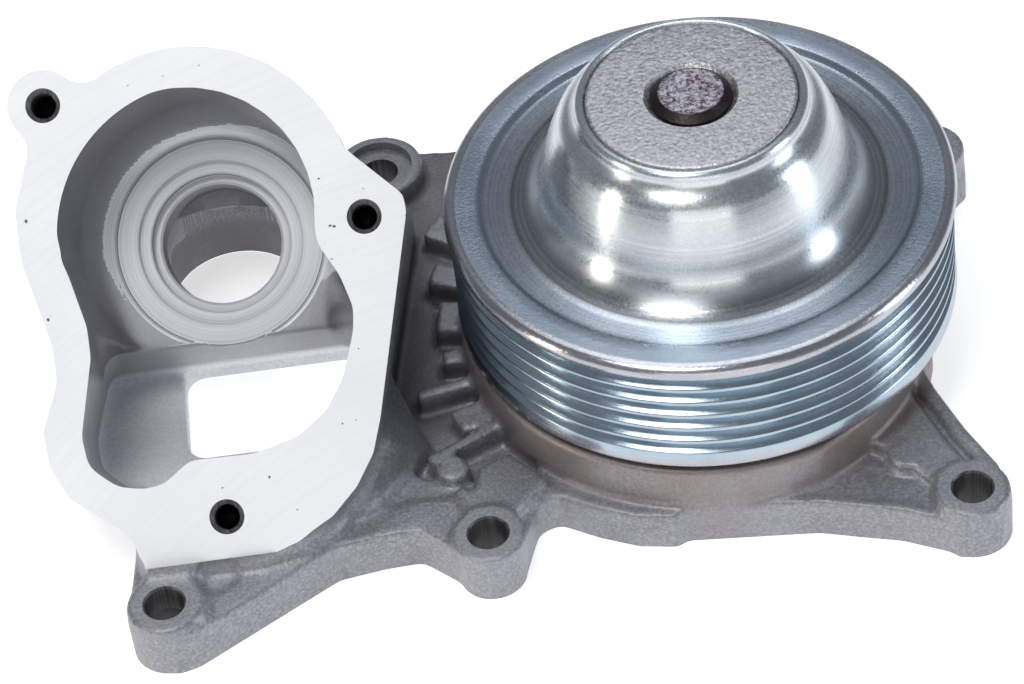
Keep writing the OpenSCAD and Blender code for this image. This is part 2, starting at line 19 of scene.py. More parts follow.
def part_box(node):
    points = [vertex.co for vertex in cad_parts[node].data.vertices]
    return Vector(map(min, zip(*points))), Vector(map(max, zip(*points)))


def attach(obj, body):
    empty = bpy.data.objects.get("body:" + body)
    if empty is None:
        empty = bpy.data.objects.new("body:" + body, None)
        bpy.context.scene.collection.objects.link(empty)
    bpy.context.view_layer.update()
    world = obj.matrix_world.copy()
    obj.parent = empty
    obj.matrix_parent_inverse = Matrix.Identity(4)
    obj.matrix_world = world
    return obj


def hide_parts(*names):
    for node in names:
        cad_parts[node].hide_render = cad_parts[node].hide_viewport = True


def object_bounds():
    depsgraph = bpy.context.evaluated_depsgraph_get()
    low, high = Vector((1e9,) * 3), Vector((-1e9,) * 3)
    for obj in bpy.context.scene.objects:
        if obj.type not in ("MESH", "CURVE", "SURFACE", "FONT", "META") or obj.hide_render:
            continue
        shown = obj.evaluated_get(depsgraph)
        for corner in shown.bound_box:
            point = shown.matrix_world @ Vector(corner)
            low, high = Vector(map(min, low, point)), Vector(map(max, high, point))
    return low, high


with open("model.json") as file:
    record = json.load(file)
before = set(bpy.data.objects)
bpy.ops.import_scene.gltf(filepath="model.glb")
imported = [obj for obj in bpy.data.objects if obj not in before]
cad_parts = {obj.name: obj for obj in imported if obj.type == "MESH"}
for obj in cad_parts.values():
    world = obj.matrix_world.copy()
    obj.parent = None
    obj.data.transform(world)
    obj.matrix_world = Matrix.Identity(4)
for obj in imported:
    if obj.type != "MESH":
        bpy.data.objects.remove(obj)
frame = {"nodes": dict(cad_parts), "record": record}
cad_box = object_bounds()

MM = 0.001
mounts = {m["name"]: m for m in frame["record"]["mounts"]}


def mount_point(name):
    """A mount's place in millimetres."""
    return Vector(mounts[name]["pos_m"]) / MM


# ---------- measures taken from the frame, in millimetres ----------

BOLT_HOLES = [mount_point(n) for n in mounts if n.endswith("_bolt_hole")]
DOWEL_HOLES = [mount_point("left_bolt_hole"), mount_point("back_bolt_hole")]
REAR_HOLE = mount_point("rear_bolt_hole")
BOLT_HOLE_R = mounts["front_bolt_hole"]["dims"]["r_mm"]
COVER_THREADS = [mount_point(n) for n in mounts if n.startswith("cover_thread_")]
COVER_THREAD_R = mounts["cover_thread_side"]["dims"]["r_mm"]
NECK_AXIS = Vector(mounts["thermostat_throat"]["axis"]).normalized()
THROAT = mount_point("thermostat_throat")
FLANGE_DEPTH = (mount_point("thermostat_cover_face") - THROAT).dot(NECK_AXIS)
NECK_TOP = THROAT + NECK_AXIS * FLANGE_DEPTH
THROAT_R = mounts["thermostat_throat"]["dims"]["r_mm"]
REGISTER_R = mounts["engine_register"]["dims"]["r_mm"]
PULLEY_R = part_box("pulley")[1].x / MM
HUB_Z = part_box("pulley_hub")[1].z / MM
SKIRT_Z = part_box("pulley")[0].z / MM
SHAFT_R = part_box("pump_shaft")[1].x / MM

# ---------- sizes of the CAD nodes that no mount or box gives, in millimetres ----------

RIM_Z = SKIRT_Z + 27.15
BOSS_TOP = 12
REAR_SEAT_Z, REAR_SEAT_R = 10, 7
DOWEL_R, DOWEL_DEPTH = 5, 6
REGISTER_DEPTH = 4
THREAD_DEPTH = 14.6
SEAT_DEPTH = 28
SEAT_R = 20.6
STEP_R = 16.4
BYPASS_R = 12
BYPASS_DEPTH = SEAT_DEPTH + 20
SEAT_STEPS_END = 33.4
# the turned band around the seat ring: a concave fillet up into the chamber wall
BAND_R = 23.9
BAND_FILLET = 3
BAND_Z = 2.9 - SEAT_DEPTH
# middle of the chamber's round part, in the neck's own x and y
CHAMBER_MIDDLE = (-4.4, 3.9)
# radii and heights of the pump chamber, the seal seat and the bearing bore above the register
CHAMBER_STEPS = [
    (36, REGISTER_DEPTH), (36, 14.5), (20, 14.5), (20, 19.8), (18, 19.8),
    (18, 26), (13.8, 26), (13.8, 30), (15, 30), (15, 70), (0, 70),
]


def neck_frame():
    """Matrix of the neck: x across the flange, y up its slope, z out of it, in millimetres."""
    x = Vector((1, 0, 0))
    y = NECK_AXIS.cross(x)
    m = Matrix((x, y, NECK_AXIS)).transposed().to_4x4()
    m.translation = NECK_TOP
    return m


NECK = neck_frame()

# ---------- materials ----------


class Graph:
    """Short names for building a node tree."""

    def __init__(self, name):
        self.material = bpy.data.materials.new(name)
        self.material.use_nodes = True
        self.tree = self.material.node_tree
        self.tree.nodes.clear()
        self.shader = self.add("ShaderNodeBsdfPrincipled")
        out = self.add("ShaderNodeOutputMaterial")
        self.tree.links.new(self.shader.outputs[0], out.inputs[0])
        self.place = self.add("ShaderNodeTexCoord").outputs["Object"]

    def add(self, kind, **settings):
        node = self.tree.nodes.new(kind)
        for key, value in settings.items():
            setattr(node, key, value)
        return node

    def put(self, socket, value):
        """Links a socket to another node's output, or sets its plain value."""
        if isinstance(value, bpy.types.NodeSocket):
            self.tree.links.new(value, socket)
        else:
            socket.default_value = value

    def math(self, operation, a, b):
        node = self.add("ShaderNodeMath", operation=operation)
        self.put(node.inputs[0], a)
        self.put(node.inputs[1], b)
        return node.outputs[0]

    def product(self, first, *others):
        for other in others:
            first = self.math("MULTIPLY", first, other)
        return first

    def vector(self, operation, a, b):
        node = self.add("ShaderNodeVectorMath", operation=operation)
        self.put(node.inputs[0], a)
        self.put(node.inputs[1], b)
        return node.outputs["Value" if operation in ("LENGTH", "DOT_PRODUCT") else "Vector"]

    def noise(self, size, detail=3.0, rough=0.5):
        """Noise whose features are about size metres across."""
        node = self.add("ShaderNodeTexNoise")
        self.put(node.inputs["Vector"], self.place)
        node.inputs["Scale"].default_value = 1 / size
        node.inputs["Detail"].default_value = detail
        node.inputs["Roughness"].default_value = rough
        return node.outputs["Fac"]

    def rings(self, distance, size, detail=2.0):
        """One-dimensional noise along a distance, as a lathe tool leaves it."""
        node = self.add("ShaderNodeTexNoise", noise_dimensions="1D")
        self.put(node.inputs["W"], distance)
        node.inputs["Scale"].default_value = 1 / size
        node.inputs["Detail"].default_value = detail
        return node.outputs["Fac"]

    def cells(self, size):
        node = self.add("ShaderNodeTexVoronoi")
        self.put(node.inputs["Vector"], self.place)
        node.inputs["Scale"].default_value = 1 / size
        return node.outputs["Distance"]

    def between(self, value, low, high, to_low=0.0, to_high=1.0):
        """Maps low..high to to_low..to_high, and holds the ends."""
        node = self.add("ShaderNodeMapRange", clamp=True)
        for socket, x in zip(node.inputs, (value, low, high, to_low, to_high)):
            self.put(socket, x)
        return node.outputs[0]

    def blend(self, share, a, b):
        node = self.add("ShaderNodeMix", data_type="RGBA")
        self.put(node.inputs["Factor"], share)
        self.put(node.inputs["A"], a)
        self.put(node.inputs["B"], b)
        return node.outputs["Result"]

    def bump(self, height, strength, depth, under=None):
        """Bump of that depth in metres."""
        node = self.add("ShaderNodeBump")
        node.inputs["Strength"].default_value = strength
        node.inputs["Distance"].default_value = depth
        self.put(node.inputs["Height"], height)
        if under is not None:
            self.put(node.inputs["Normal"], under)
        return node.outputs["Normal"]

    def axis_distance(self, point=None, axis=None):
        """Distance from the Z axis, or from the line through point along axis."""
        if axis is None:
            flat = self.vector("MULTIPLY", self.place, (1, 1, 0))
            return self.vector("LENGTH", flat, (0, 0, 0))
        from_point = self.vector("SUBTRACT", self.place, tuple(point * MM))
        across = self.vector("CROSS_PRODUCT", from_point, tuple(axis))
        return self.vector("LENGTH", across, (0, 0, 0))

    def along(self, axis):
        """The place along X, Y or Z."""
        node = self.add("ShaderNodeSeparateXYZ")
        self.put(node.inputs[0], self.place)
        return node.outputs[axis]

    def past(self, point, direction):
        """Distance along a direction, from a point given in millimetres."""
        from_point = self.vector("SUBTRACT", self.place, tuple(point * MM))
        return self.vector("DOT_PRODUCT", from_point, tuple(direction))

    def finish(self, color, rough, normal=None, metallic=1.0):
        self.put(self.shader.inputs["Base Color"], color)
        self.put(self.shader.inputs["Roughness"], rough)
        self.shader.inputs["Metallic"].default_value = metallic
        if normal is not None:
            self.put(self.shader.inputs["Normal"], normal)
        return self.material


def rgb(r, g, b):
    return (r, g, b, 1.0)


# places of painted shade, painted light and painted reflection, and of the zinc's bluer plate, as
# pairs of metres between which they fade
UNDER_PULLEY_SHADE_R = (0.0495, 0.0512)
RIBS_X, RIBS_Y = (-0.046, -0.041), (-0.022, -0.015)
WEB_FLOOR_Z = (0.0085, 0.0108)
SEAT_BLOCK_EDGE = (-0.012, -0.008)
SEAT_BAND_R = (0.0228, 0.0268)
POCKET_EDGE = (-0.0255, -0.0235)
POCKET_FLOOR_Z = (0.0075, 0.010)
DARK_REFLECTION_RING_INNER, DARK_REFLECTION_RING_OUTER = (0.0325, 0.0345), (0.0368, 0.0382)
DISH_R = (0.0372, 0.0385)


def cast_aluminium():
    """Die-cast skin: fine grain, cloudy tone, painted brownish reflection and shade under the
    pulley, and painted shade low between the ribs.
    """
    g = Graph("cast_aluminium")
    cloud = g.noise(0.014, 4.0, 0.6)
    grain = g.noise(0.0007, 3.0, 0.65)
    pits = g.cells(0.0009)
    color = g.blend(g.between(cloud, 0.3, 0.7), rgb(0.20, 0.20, 0.22), rgb(0.29, 0.29, 0.315))
    color = g.blend(g.between(grain, 0.4, 0.75), color, rgb(0.41, 0.41, 0.44))
    blotch = g.between(g.noise(0.011, 3.0), 0.3, 0.7, 0.45, 0.95)
    # painted reflection and shade: a brownish dark tint on everything under the pulley, broken up
    # by blotches
    under_pulley = g.between(g.axis_distance(), *UNDER_PULLEY_SHADE_R, 1.0, 0.0)
    color = g.blend(g.product(under_pulley, blotch), color, rgb(0.24, 0.19, 0.165))
    # painted shade: a dark tint low on the web beside the neck, between its ribs
    beside_neck = g.between(g.along("X"), *RIBS_X, 1.0, 0.0)
    sheltered = g.product(beside_neck, g.between(g.along("Y"), *RIBS_Y))
    low = g.between(g.along("Z"), *WEB_FLOOR_Z, 1.0, 0.0)
    color = g.blend(g.product(low, sheltered, blotch), color, rgb(0.17, 0.16, 0.165))
    wear = g.math("ADD", g.product(cloud, 0.5), g.product(grain, 0.5))
    rough = g.between(wear, 0.3, 0.7, 0.36, 0.56)
    normal = g.bump(grain, 0.6, 0.00014)
    normal = g.bump(pits, 0.3, 0.00009, normal)
    normal = g.bump(g.noise(0.006, 2.0), 0.3, 0.0003, normal)
    return g.finish(color, rough, normal, metallic=0.5)


def neck_aluminium_painted_light_and_shade():
    """Cast skin inside the neck with painted shade and painted light: dark walls, lighter around
    the seat and on the pocket's floor.
    """
    g = Graph("neck_aluminium_painted_light_and_shade")
    grain = g.noise(0.0007, 3.0, 0.65)
    cloud = g.between(g.noise(0.014, 4.0, 0.6), 0.3, 0.7)
    across = g.axis_distance(NECK_TOP, NECK_AXIS)
    below = g.past(NECK_TOP, -NECK_AXIS)
    up_slope = g.past(NECK_TOP, NECK.col[1].xyz)
    seat = (SEAT_DEPTH - 1.2) * MM
    # painted shade: the neck's walls far darker than the cast skin outside; the seat block's top
    # corner and the pocket keep lighter tones
    wall = g.blend(cloud, rgb(0.11, 0.108, 0.12), rgb(0.16, 0.157, 0.175))
    land = g.blend(cloud, rgb(0.34, 0.34, 0.37), rgb(0.44, 0.44, 0.47))
    pocket = g.blend(cloud, rgb(0.32, 0.325, 0.345), rgb(0.40, 0.405, 0.43))
    floor = g.blend(cloud, rgb(0.80, 0.81, 0.84), rgb(0.88, 0.89, 0.91))
    on_block = g.between(below, seat, seat + 0.9 * MM)
    corner = g.product(on_block, g.between(up_slope, *SEAT_BLOCK_EDGE, 1.0, 0.0))
    color = g.blend(corner, wall, land)
    # painted light: a lighter band round the seat ring, fading into the shaded wall
    color = g.blend(g.between(across, *SEAT_BAND_R, 1.0, 0.0), color, rgb(0.50, 0.50, 0.54))
    color = g.blend(g.between(up_slope, *POCKET_EDGE, 1.0, 0.0), color, pocket)
    # painted light: the pocket's low floor near white
    color = g.blend(g.between(g.along("Z"), *POCKET_FLOOR_Z, 1.0, 0.0), color, floor)
    color = g.blend(g.between(grain, 0.4, 0.8, 0.0, 0.35), color, rgb(0.30, 0.30, 0.33))
    normal = g.bump(grain, 0.6, 0.00012)
    return g.finish(color, g.between(grain, 0.3, 0.7, 0.42, 0.6), normal, metallic=0.2)


def milled_aluminium():
    """Bright milled face: faint arcs of the cutter and a few small pores."""
    g = Graph("milled_aluminium")
    sweep = g.axis_distance(NECK @ Vector((60, -150, 0)), NECK_AXIS)
    marks = g.rings(sweep, 0.0011, 4.0)
    cloud = g.noise(0.02, 3.0)
    pores = g.between(g.noise(0.0016, 1.0), 0.785, 0.80)
    color = g.blend(g.between(cloud, 0.3, 0.7), rgb(0.86, 0.875, 0.89), rgb(0.92, 0.925, 0.93))
    color = g.blend(g.between(marks, 0.42, 0.6, 0.0, 0.2), color, rgb(0.80, 0.82, 0.85))
    color = g.blend(pores, color, rgb(0.12, 0.11, 0.12))
    rough = g.between(marks, 0.3, 0.7, 0.42, 0.58)
    normal = g.bump(marks, 0.15, 0.00003)
    normal = g.bump(g.noise(0.0005, 2.0), 0.25, 0.00003, normal)
    normal = g.bump(g.math("SUBTRACT", 1.0, pores), 0.8, 0.0003, normal)
    return g.finish(color, rough, normal, metallic=0.0)


def turned_aluminium(name, point, axis, low, high):
    """Turned face or bore around an axis, with fine rings: bright on the seat, near-black with
    painted shade in the drilled bores.
    """
    g = Graph(name)
    distance = g.axis_distance(point, axis)
    rings = g.rings(distance, 0.0006, 3.0)
    color = g.blend(g.between(rings, 0.35, 0.65), low, high)
    rough = g.between(rings, 0.3, 0.7, 0.3, 0.45)
    return g.finish(color, rough, g.bump(rings, 0.25, 0.00003), metallic=0.2)


def zinc_plate(name, low, high, rough, grain_depth, spin_depth, brushed=0.8):
    """Zinc-plated pressed steel: spin marks around the axis over a fine or a coarse grain."""
    g = Graph(name)
    distance = g.axis_distance()
    along = g.math("ADD", distance, g.along("Z"))
    spin = g.rings(along, 0.0006, 4.0)
    wide = g.rings(along, 0.004, 2.0)
    cloud = g.noise(0.018, 4.0, 0.6)
    grain = g.noise(0.0007, 3.0, 0.7)
    color = g.blend(g.between(cloud, 0.3, 0.7), low, high)
    color = g.blend(g.between(grain, 0.45, 0.8, 0.0, 0.4), color, rgb(0.85, 0.87, 0.88))
    # a painted dark reflection ring where the bell turns into the dish, streaked by the spin
    # marks, and a bluer plate from the dish outwards
    outer_side = g.between(distance, *DARK_REFLECTION_RING_OUTER, 1.0, 0.0)
    ring = g.product(g.between(distance, *DARK_REFLECTION_RING_INNER), outer_side)
    ring_streaks = g.between(spin, 0.3, 0.6, 0.35, 0.85)
    color = g.blend(g.product(ring, ring_streaks), color, rgb(0.13, 0.145, 0.16))
    color = g.blend(g.between(distance, *DISH_R, 0.0, 0.55), color, rgb(0.22, 0.29, 0.39))
    worn = g.math("ADD", g.product(spin, 0.5), g.product(grain, 0.5))
    normal = g.bump(spin, 0.35, spin_depth)
    normal = g.bump(wide, 0.3, spin_depth * 4, normal)
    normal = g.bump(grain, 0.5, grain_depth, normal)
    material = g.finish(color, g.between(worn, 0.35, 0.65, *rough), normal)
    tangent = g.add("ShaderNodeTangent", direction_type="RADIAL", axis="Z")
    g.put(g.shader.inputs["Tangent"], tangent.outputs[0])
    g.shader.inputs["Anisotropic"].default_value = brushed
    g.shader.inputs["Anisotropic Rotation"].default_value = 0.25
    return material


def blasted_steel():
    """Shot-blasted hub: even gray with a coarse sparkle."""
    g = Graph("blasted_steel")
    grain = g.noise(0.0008, 3.0, 0.7)
    dents = g.cells(0.0009)
    cloud = g.noise(0.012, 3.0)
    color = g.blend(g.between(grain, 0.3, 0.7), rgb(0.30, 0.295, 0.31), rgb(0.92, 0.91, 0.94))
    color = g.blend(g.between(cloud, 0.3, 0.7, 0.0, 0.5), color, rgb(0.66, 0.655, 0.69))
    rough = g.between(grain, 0.3, 0.7, 0.35, 0.6)
    normal = g.bump(grain, 0.8, 0.0002)
    normal = g.bump(dents, 0.5, 0.00015, normal)
    return g.finish(color, rough, normal)


def shaft_steel():
    """Turned shaft end: heat-tinted, speckled, with turning rings and painted shade on its
    chamfer.
    """
    g = Graph("shaft_steel")
    distance = g.axis_distance()
    rings = g.rings(g.math("ADD", distance, g.along("Z")), 0.0005, 3.0)
    grain = g.noise(0.0009, 3.0, 0.7)
    color = g.blend(g.between(grain, 0.4, 0.6), rgb(0.12, 0.095, 0.11), rgb(0.80, 0.76, 0.85))
    color = g.blend(g.between(rings, 0.4, 0.7, 0.0, 0.5), color, rgb(0.24, 0.20, 0.22))
    # painted shade: a near-black ring round the end face, over the chamfer
    color = g.blend(g.between(distance, 0.0061, 0.0065), color, rgb(0.05, 0.04, 0.042))
    rough = g.between(grain, 0.3, 0.7, 0.3, 0.55)
    normal = g.bump(rings, 0.4, 0.0001)
    normal = g.bump(grain, 0.6, 0.00015, normal)
    return g.finish(color, rough, normal)


def plain_metal(name, low, high, rough):
    """Ground, drawn or pressed metal: fine marks around the shaft axis."""
    g = Graph(name)
    marks = g.rings(g.math("ADD", g.axis_distance(), g.along("Z")), 0.0003, 3.0)
    cloud = g.noise(0.004, 3.0)
    color = g.blend(g.between(cloud, 0.3, 0.7), low, high)
    return g.finish(color, g.between(marks, 0.3, 0.7, *rough), g.bump(marks, 0.25, 0.00004))


def moulded(name, low, high, rough, grain_size, grain_depth):
    """Rubber, carbon, ceramic or plastic: moulded or lapped skin."""
    g = Graph(name)
    grain = g.noise(grain_size, 3.0, 0.6)
    cloud = g.noise(0.008, 3.0)
    color = g.blend(g.between(cloud, 0.3, 0.7), low, high)
    rough = g.between(grain, 0.3, 0.7, *rough)
    return g.finish(color, rough, g.bump(grain, 0.4, grain_depth), metallic=0.0)


# ---------- meshes ----------


def mesh_object(name, points, faces, materials=()):
    """A mesh from points in millimetres."""
    mesh = bpy.data.meshes.new(name)
    mesh.from_pydata([tuple(p) for p in np.asarray(points) * MM], [], [list(f) for f in faces])
    mesh.validate()
    for material in materials:
        mesh.materials.append(material)
    made = bpy.data.objects.new(name, mesh)
    bpy.context.scene.collection.objects.link(made)
    return made


def lathe(name, profile, place=None, segments=96, zones=None, materials=()):
    """A closed profile of (radius, height) turned round the Z axis of place."""
    place = place or Matrix.Identity(4)
    points, faces, zone_of_face = [], [], []
    rows = []
    for r, z in profile:
        if r < 1e-6:
            rows.append([len(points)] * segments)
            points.append(place @ Vector((0, 0, z)))
            continue
        rows.append(list(range(len(points), len(points) + segments)))
        for i in range(segments):
            a = 2 * math.pi * i / segments
            points.append(place @ Vector((r * math.cos(a), r * math.sin(a), z)))
    for k, row in enumerate(rows):
        above = rows[(k + 1) % len(rows)]
        for i in range(segments):
            j = (i + 1) % segments
            corners = [row[i], row[j], above[j], above[i]]
            corners = list(dict.fromkeys(corners))
            if len(corners) > 2:
                faces.append(corners)
                zone_of_face.append(zones[k] if zones else 0)
    made = mesh_object(name, points, faces, materials)
    if zones:
        made.data.polygons.foreach_set("material_index", zone_of_face)
    outward(made)
    return made


def outward(made):
    """Turns a closed mesh's faces outward."""
    mesh = made.data
    mesh.calc_loop_triangles()
    n = len(mesh.loop_triangles)
    corners = np.empty(n * 3, np.int32)
    mesh.loop_triangles.foreach_get("vertices", corners)
    points = np.empty(len(mesh.vertices) * 3)
    mesh.vertices.foreach_get("co", points)
    a, b, c = points.reshape(-1, 3)[corners.reshape(-1, 3)].transpose(1, 0, 2)
    if np.einsum("ij,ij->i", a, np.cross(b, c)).sum() < 0:
        mesh.flip_normals()


def arc(centre, r, start, end, steps):
    """Points along an arc in the profile plane, angles in degrees."""
    return [
        (
            centre[0] + r * math.cos(math.radians(start + (end - start) * i / steps)),
            centre[1] + r * math.sin(math.radians(start + (end - start) * i / steps)),
        )
        for i in range(steps + 1)
    ]


def cut(target, cutter):
    """Cuts one closed mesh from another, and removes the cutter."""
    modifier = target.modifiers.new("cut", "BOOLEAN")
    modifier.operation = "DIFFERENCE"
    modifier.solver = "MANIFOLD"
    modifier.object = cutter
    bpy.context.view_layer.update()
    graph = bpy.context.evaluated_depsgraph_get()
    mesh = bpy.data.meshes.new_from_object(target.evaluated_get(graph))
    target.modifiers.clear()
    old = target.data
    target.data = mesh
    bpy.data.meshes.remove(old)
    bpy.data.objects.remove(cutter)


def shade(made, sharp_degrees=32):
    """Smooth shading with sharp edges where faces meet at more than that angle."""
    made.data.polygons.foreach_set("use_smooth", [True] * len(made.data.polygons))
    made.data.set_sharp_from_angle(angle=math.radians(sharp_degrees))


# ---------- casting ----------

VOXEL = 0.5
DEEP_FILLET = 3.0
FINE_FILLET = 0.55
EDGE_ROUND = 0.4
# stock left for machining under the engine face and over the flange
STOCK = 2.0
# where the neck's wide fillets take over from the web's narrow ones
NECK_SIDE_X = (58, 66)
NECK_FOOT_Z = (5, 11)


class Casting:
    """Distance field of a solid in millimetres, negative inside."""

    def __init__(self, points, triangles, margin):
        self.low = np.floor((points.min(0) - margin) / VOXEL).astype(int)
        high = np.ceil((points.max(0) + margin) / VOXEL).astype(int)
        self.shape = tuple(high - self.low)
        self.transform = openvdb.createLinearTransform(voxelSize=VOXEL)
        self.field = self.measure(points, triangles, np.zeros((0, 4), np.uint32))

    def measure(self, points, triangles, quads):
        """Signed distance to a closed mesh on the grid."""
        grid = openvdb.FloatGrid.createLevelSetFromPolygons(
            points.astype(np.float32),
            triangles=triangles.astype(np.uint32),
            quads=quads.astype(np.uint32),
            transform=self.transform,
            halfWidth=DEEP_FILLET / VOXEL + 2,
        )
        field = np.empty(self.shape, np.float32)
        grid.copyToArray(field, ijk=tuple(int(x) for x in self.low))
        return field

    def surface(self, field, level):
        grid = openvdb.FloatGrid(DEEP_FILLET + 2 * VOXEL)
        grid.copyFromArray(field, ijk=tuple(int(x) for x in self.low))
        grid.transform = self.transform
        grid.gridClass = openvdb.GridClass.LEVEL_SET
        return grid.convertToPolygons(isovalue=level, adaptivity=0)

    def offset_twice(self, field, r):
        """Moves the surface out by r and back, which gives inside corners that radius.

        A negative r rounds the outside corners instead.
        """
        points, triangles, quads = self.surface(field, r)
        return self.measure(points, triangles, quads) + r

    def axes(self):
        """Coordinates of the grid points, as three arrays that broadcast."""
        steps = [
            (np.arange(n) + low).astype(np.float32) * VOXEL
            for n, low in zip(self.shape, self.low)
        ]
        return np.meshgrid(*steps, indexing="ij", sparse=True)


def cylinder_field(axes, place, r, low, high):
    """Distance field of a cylinder along place's Z axis."""
    inverse = place.inverted()
    local = [
        sum(inverse[row][k] * axes[k] for k in range(3)) + inverse[row][3]
        for row in range(3)
    ]
    across = np.sqrt(local[0] ** 2 + local[1] ** 2) - r
    along = np.maximum(low - local[2], local[2] - high)
    return np.maximum(across, along)


def smooth_step(x, low, high):
    t = np.clip((x - low) / (high - low), 0, 1)
    return t * t * (3 - 2 * t)


def thread_places():
    """A frame on the flange for each cover thread, with Z out of the flange."""
    turn = NECK.to_3x3().to_4x4()
    tops = [p - NECK_AXIS * (p - NECK_TOP).dot(NECK_AXIS) for p in COVER_THREADS]
    return [Matrix.Translation(top) @ turn for top in tops]


def cast_solid(node):
    """The casting before machining, with its inside corners filleted."""
    mesh = frame["nodes"][node].data
    mesh.calc_loop_triangles()
    points = np.empty(len(mesh.vertices) * 3)
    mesh.vertices.foreach_get("co", points)
    points = points.reshape(-1, 3) / MM
    triangles = np.empty(len(mesh.loop_triangles) * 3, np.int32)
    mesh.loop_triangles.foreach_get("vertices", triangles)
    depth = (points - np.array(NECK_TOP)) @ np.array(NECK_AXIS)
    points[np.abs(depth) < 0.01] += STOCK * np.array(NECK_AXIS)
    points[np.abs(points[:, 2]) < 0.01, 2] -= STOCK
    casting = Casting(points, triangles.reshape(-1, 3), DEEP_FILLET + 2)
    axes = casting.axes()
    field = casting.field
    # the cast blank has no bolt holes, threads or seat yet, so they are filled in

    def fill(place, r, low, high):
        nonlocal field
        field = np.minimum(field, cylinder_field(axes, place, r, low, high))

    for p in BOLT_HOLES:
        place = Matrix.Translation((p.x, p.y, 0))
        fill(place, BOLT_HOLE_R + 0.8, -STOCK, BOSS_TOP)
        fill(place, DOWEL_R + 0.4, -STOCK, DOWEL_DEPTH + 1)
    fill(Matrix.Translation((REAR_HOLE.x, REAR_HOLE.y, 0)), REAR_SEAT_R + 0.4, 6, BOSS_TOP)
    for place in thread_places():
        fill(place, COVER_THREAD_R + 0.5, -THREAD_DEPTH - 2, STOCK)
        fill(place, COVER_THREAD_R + 2.1, -2, STOCK)
    fill(NECK, SEAT_R + 0.4, -SEAT_STEPS_END, -SEAT_DEPTH)
    fine = casting.offset_twice(field, FINE_FILLET)
    deep = casting.offset_twice(field, DEEP_FILLET)
    share = smooth_step(-axes[0], *NECK_SIDE_X) * smooth_step(axes[2], *NECK_FOOT_Z)
    field = fine + (deep - fine) * share
    field = casting.offset_twice(field, -EDGE_ROUND)
    points, triangles, quads = casting.surface(field, 0)
    faces = [list(f) for f in triangles] + [list(f) for f in quads]
    made = mesh_object("housing_casting", points, faces)
    outward(made)
    return made


def box_cutter(place, low, high):
    corners = [
        place @ Vector((x, y, z))
        for z in (low[2], high[2])
        for y in (low[1], high[1])
        for x in (low[0], high[0])
    ]
    faces = [(0, 2, 3, 1), (4, 5, 7, 6), (0, 1, 5, 4), (2, 6, 7, 3), (0, 4, 6, 2), (1, 3, 7, 5)]
    made = mesh_object("cutter", corners, faces)
    outward(made)
    return made


def bolt_hole_profile(seated):
    """Hole with chamfered ends, or ending in the flat washer seat."""
    r, edge = BOLT_HOLE_R, 0.35
    profile = [(0, -1), (r + edge + 1, -1), (r, edge)]
    if seated:
        seat = [(r, REAR_SEAT_Z), (REAR_SEAT_R, REAR_SEAT_Z)]
        return profile + seat + [(REAR_SEAT_R, BOSS_TOP + 1), (0, BOSS_TOP + 1)]
    return profile + [(r, BOSS_TOP - edge), (r + edge + 1, BOSS_TOP + 1), (0, BOSS_TOP + 1)]


def thread_profile():
    """Tapped hole with a chamfered mouth and plain turns."""
    r, pitch, top, end = COVER_THREAD_R, 1.0, -0.9, -12
    profile = [(0, 1), (r + 1.9, 1), (r, top)]
    z = top
    while z > end:
        profile += [(r + 0.45, z - pitch / 2), (r, z - pitch)]
        z -= pitch
    return profile + [(r - 0.1, -THREAD_DEPTH), (0, -THREAD_DEPTH - 1.4)]


def seat_profile():
    """Turned band, seat ring, steps and bypass bore."""
    d = -SEAT_DEPTH
    band = arc((BAND_R - BAND_FILLET, BAND_Z), BAND_FILLET, -6, -84, 8)
    return [(0, d + 5), (BAND_R, d + 5), (BAND_R, BAND_Z)] + band + [
        (SEAT_R + 0.2, d - 0.1), (SEAT_R, d - 0.4), (STEP_R + 0.3, d - 0.4), (STEP_R, d - 0.7),
        (STEP_R, d - 1.8), (STEP_R - 0.2, d - 2), (THROAT_R + 0.3, d - 2), (THROAT_R, d - 2.3),
        (THROAT_R, d - 4.8), (THROAT_R - 0.2, d - 5), (BYPASS_R + 0.5, d - 5), (BYPASS_R, d - 5.5),
        (BYPASS_R, -BYPASS_DEPTH), (0, -BYPASS_DEPTH),
    ]


def machine(made):
    """Cuts the machined faces and bores into the casting."""
    far = 200
    still = Matrix.Identity(4)
    cut(made, box_cutter(still, (-far, -far, -far), (far, far, 0)))
    cut(made, box_cutter(NECK, (-50, -63, 0), (50, 50, 6)))
    for p in BOLT_HOLES:
        profile = bolt_hole_profile((p - REAR_HOLE).length < 1)
        cut(made, lathe("cutter", profile, Matrix.Translation((p.x, p.y, 0)), 64))
    for p in DOWEL_HOLES:
        profile = [(0, -1), (DOWEL_R, -1), (DOWEL_R, DOWEL_DEPTH), (0, DOWEL_DEPTH)]
        cut(made, lathe("cutter", profile, Matrix.Translation((p.x, p.y, 0)), 64))
    for place in thread_places():
        cut(made, lathe("cutter", thread_profile(), place, 48))
    cut(made, lathe("cutter", seat_profile(), NECK, 192))
    chamber = [(0, -1), (REGISTER_R, -1), (REGISTER_R, REGISTER_DEPTH)] + CHAMBER_STEPS
    cut(made, lathe("cutter", chamber, still, 192))


CAST, MILLED, TURNED, DRILLED, NECK_PAINTED_SHADE = range(5)


